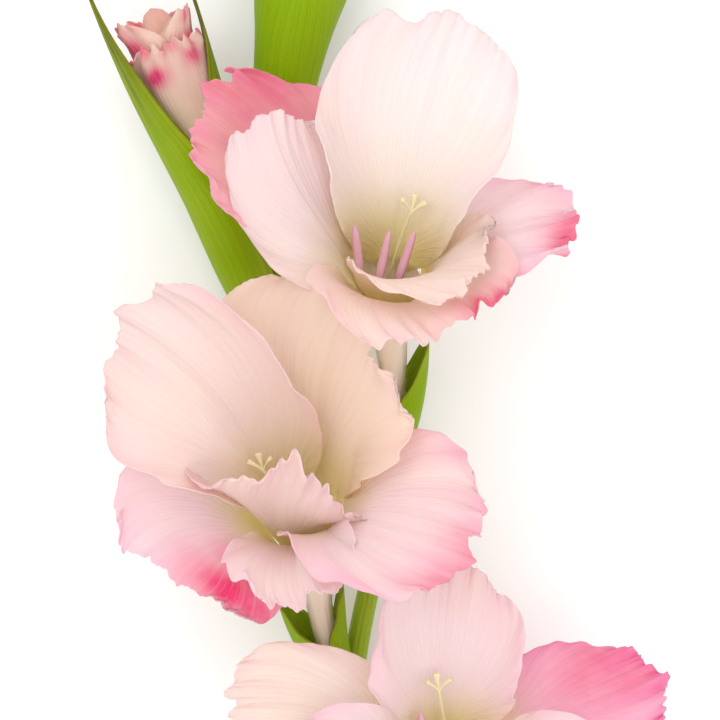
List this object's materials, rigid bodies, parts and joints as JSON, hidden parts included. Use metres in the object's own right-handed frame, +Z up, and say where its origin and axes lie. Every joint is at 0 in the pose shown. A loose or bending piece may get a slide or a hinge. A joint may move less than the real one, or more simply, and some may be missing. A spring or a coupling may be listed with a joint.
{
  "type": "cut gladiolus spike",
  "caption": "Cut gladiolus spike lying on its back: a long green stem with leaves, pale pink frilled open flowers, an opening bud and green buds at the tip.",
  "frame": {"origin": "centre of the bottom face of the box around the lying spike, on the surface that it lies on", "axes": "+Y along the stem from the cut end to the tip, +Z up, the way the open flowers face, +X to the right seen from above with the tip away"},
  "size_m": [0.1602, 0.587, 0.0962],
  "materials": {
    "stem": "fresh green stem skin, satin, finely ribbed along its length",
    "leaf": "leathery green blade with parallel veins, satin",
    "bract": "yellow-green bract with parallel veins, paler margin and dry brown tip, satin",
    "tube": "cream to greenish flower tube, soft satin",
    "petal_pale": "thin translucent petal, cream to blush white, yellow-green in the throat, fine veins",
    "petal_pink": "thin translucent petal, blush to deep pink towards its frilled margin, fine veins",
    "stamen": "cream filament with a pink-purple anther",
    "style": "pale yellow style with three downy lobes",
    "bud": "rolled petal, cream at the base and peach pink at the mouth with red flecks",
    "green_bud": "unripe bud, pale green, satin"
  },
  "bodies": {
    "root": {"flower_1_inner_bract": "bract", "flower_1_inner_tepal_left": "petal_pale", "flower_1_inner_tepal_low": "petal_pale", "flower_1_inner_tepal_top": "petal_pale", "flower_1_outer_bract": "bract", "flower_1_outer_tepal_left": "petal_pink", "flower_1_outer_tepal_low": "petal_pink", "flower_1_outer_tepal_right": "petal_pink", "flower_1_stamen_left": "stamen", "flower_1_stamen_middle": "stamen", "flower_1_stamen_right": "stamen", "flower_1_style": "style", "flower_1_tube": "tube", "flower_2_inner_bract": "bract", "flower_2_inner_tepal_low": "petal_pale", "flower_2_inner_tepal_right": "petal_pale", "flower_2_inner_tepal_top": "petal_pale", "flower_2_outer_bract": "bract", "flower_2_outer_tepal_left": "petal_pink", "flower_2_outer_tepal_low": "petal_pink", "flower_2_outer_tepal_top": "petal_pink", "flower_2_stamen_left": "stamen", "flower_2_stamen_middle": "stamen", "flower_2_stamen_right": "stamen", "flower_2_style": "style", "flower_2_tube": "tube", "flower_3_inner_bract": "bract", "flower_3_inner_tepal_left": "petal_pale", "flower_3_inner_tepal_right": "petal_pale", "flower_3_inner_tepal_top": "petal_pale", "flower_3_outer_bract": "bract", "flower_3_outer_tepal_left": "petal_pink", "flower_3_outer_tepal_low": "petal_pink", "flower_3_outer_tepal_right": "petal_pink", "flower_3_stamen_left": "stamen", "flower_3_stamen_middle": "stamen", "flower_3_stamen_right": "stamen", "flower_3_style": "style", "flower_3_tube": "tube", "green_bud_1_body": "green_bud", "green_bud_1_bract": "bract", "green_bud_2_body": "green_bud", "green_bud_2_bract": "bract", "green_bud_3_body": "green_bud", "green_bud_3_bract": "bract", "green_bud_4_body": "green_bud", "green_bud_4_bract": "bract", "leaf_lower": "leaf", "leaf_upper": "leaf", "opening_bud_core": "bud", "opening_bud_inner_bract": "bract", "opening_bud_outer_bract": "bract", "opening_bud_tepal_front": "bud", "opening_bud_tepal_left": "bud", "opening_bud_tepal_right": "bud", "stem": "stem"}
  },
  "joints": []
}
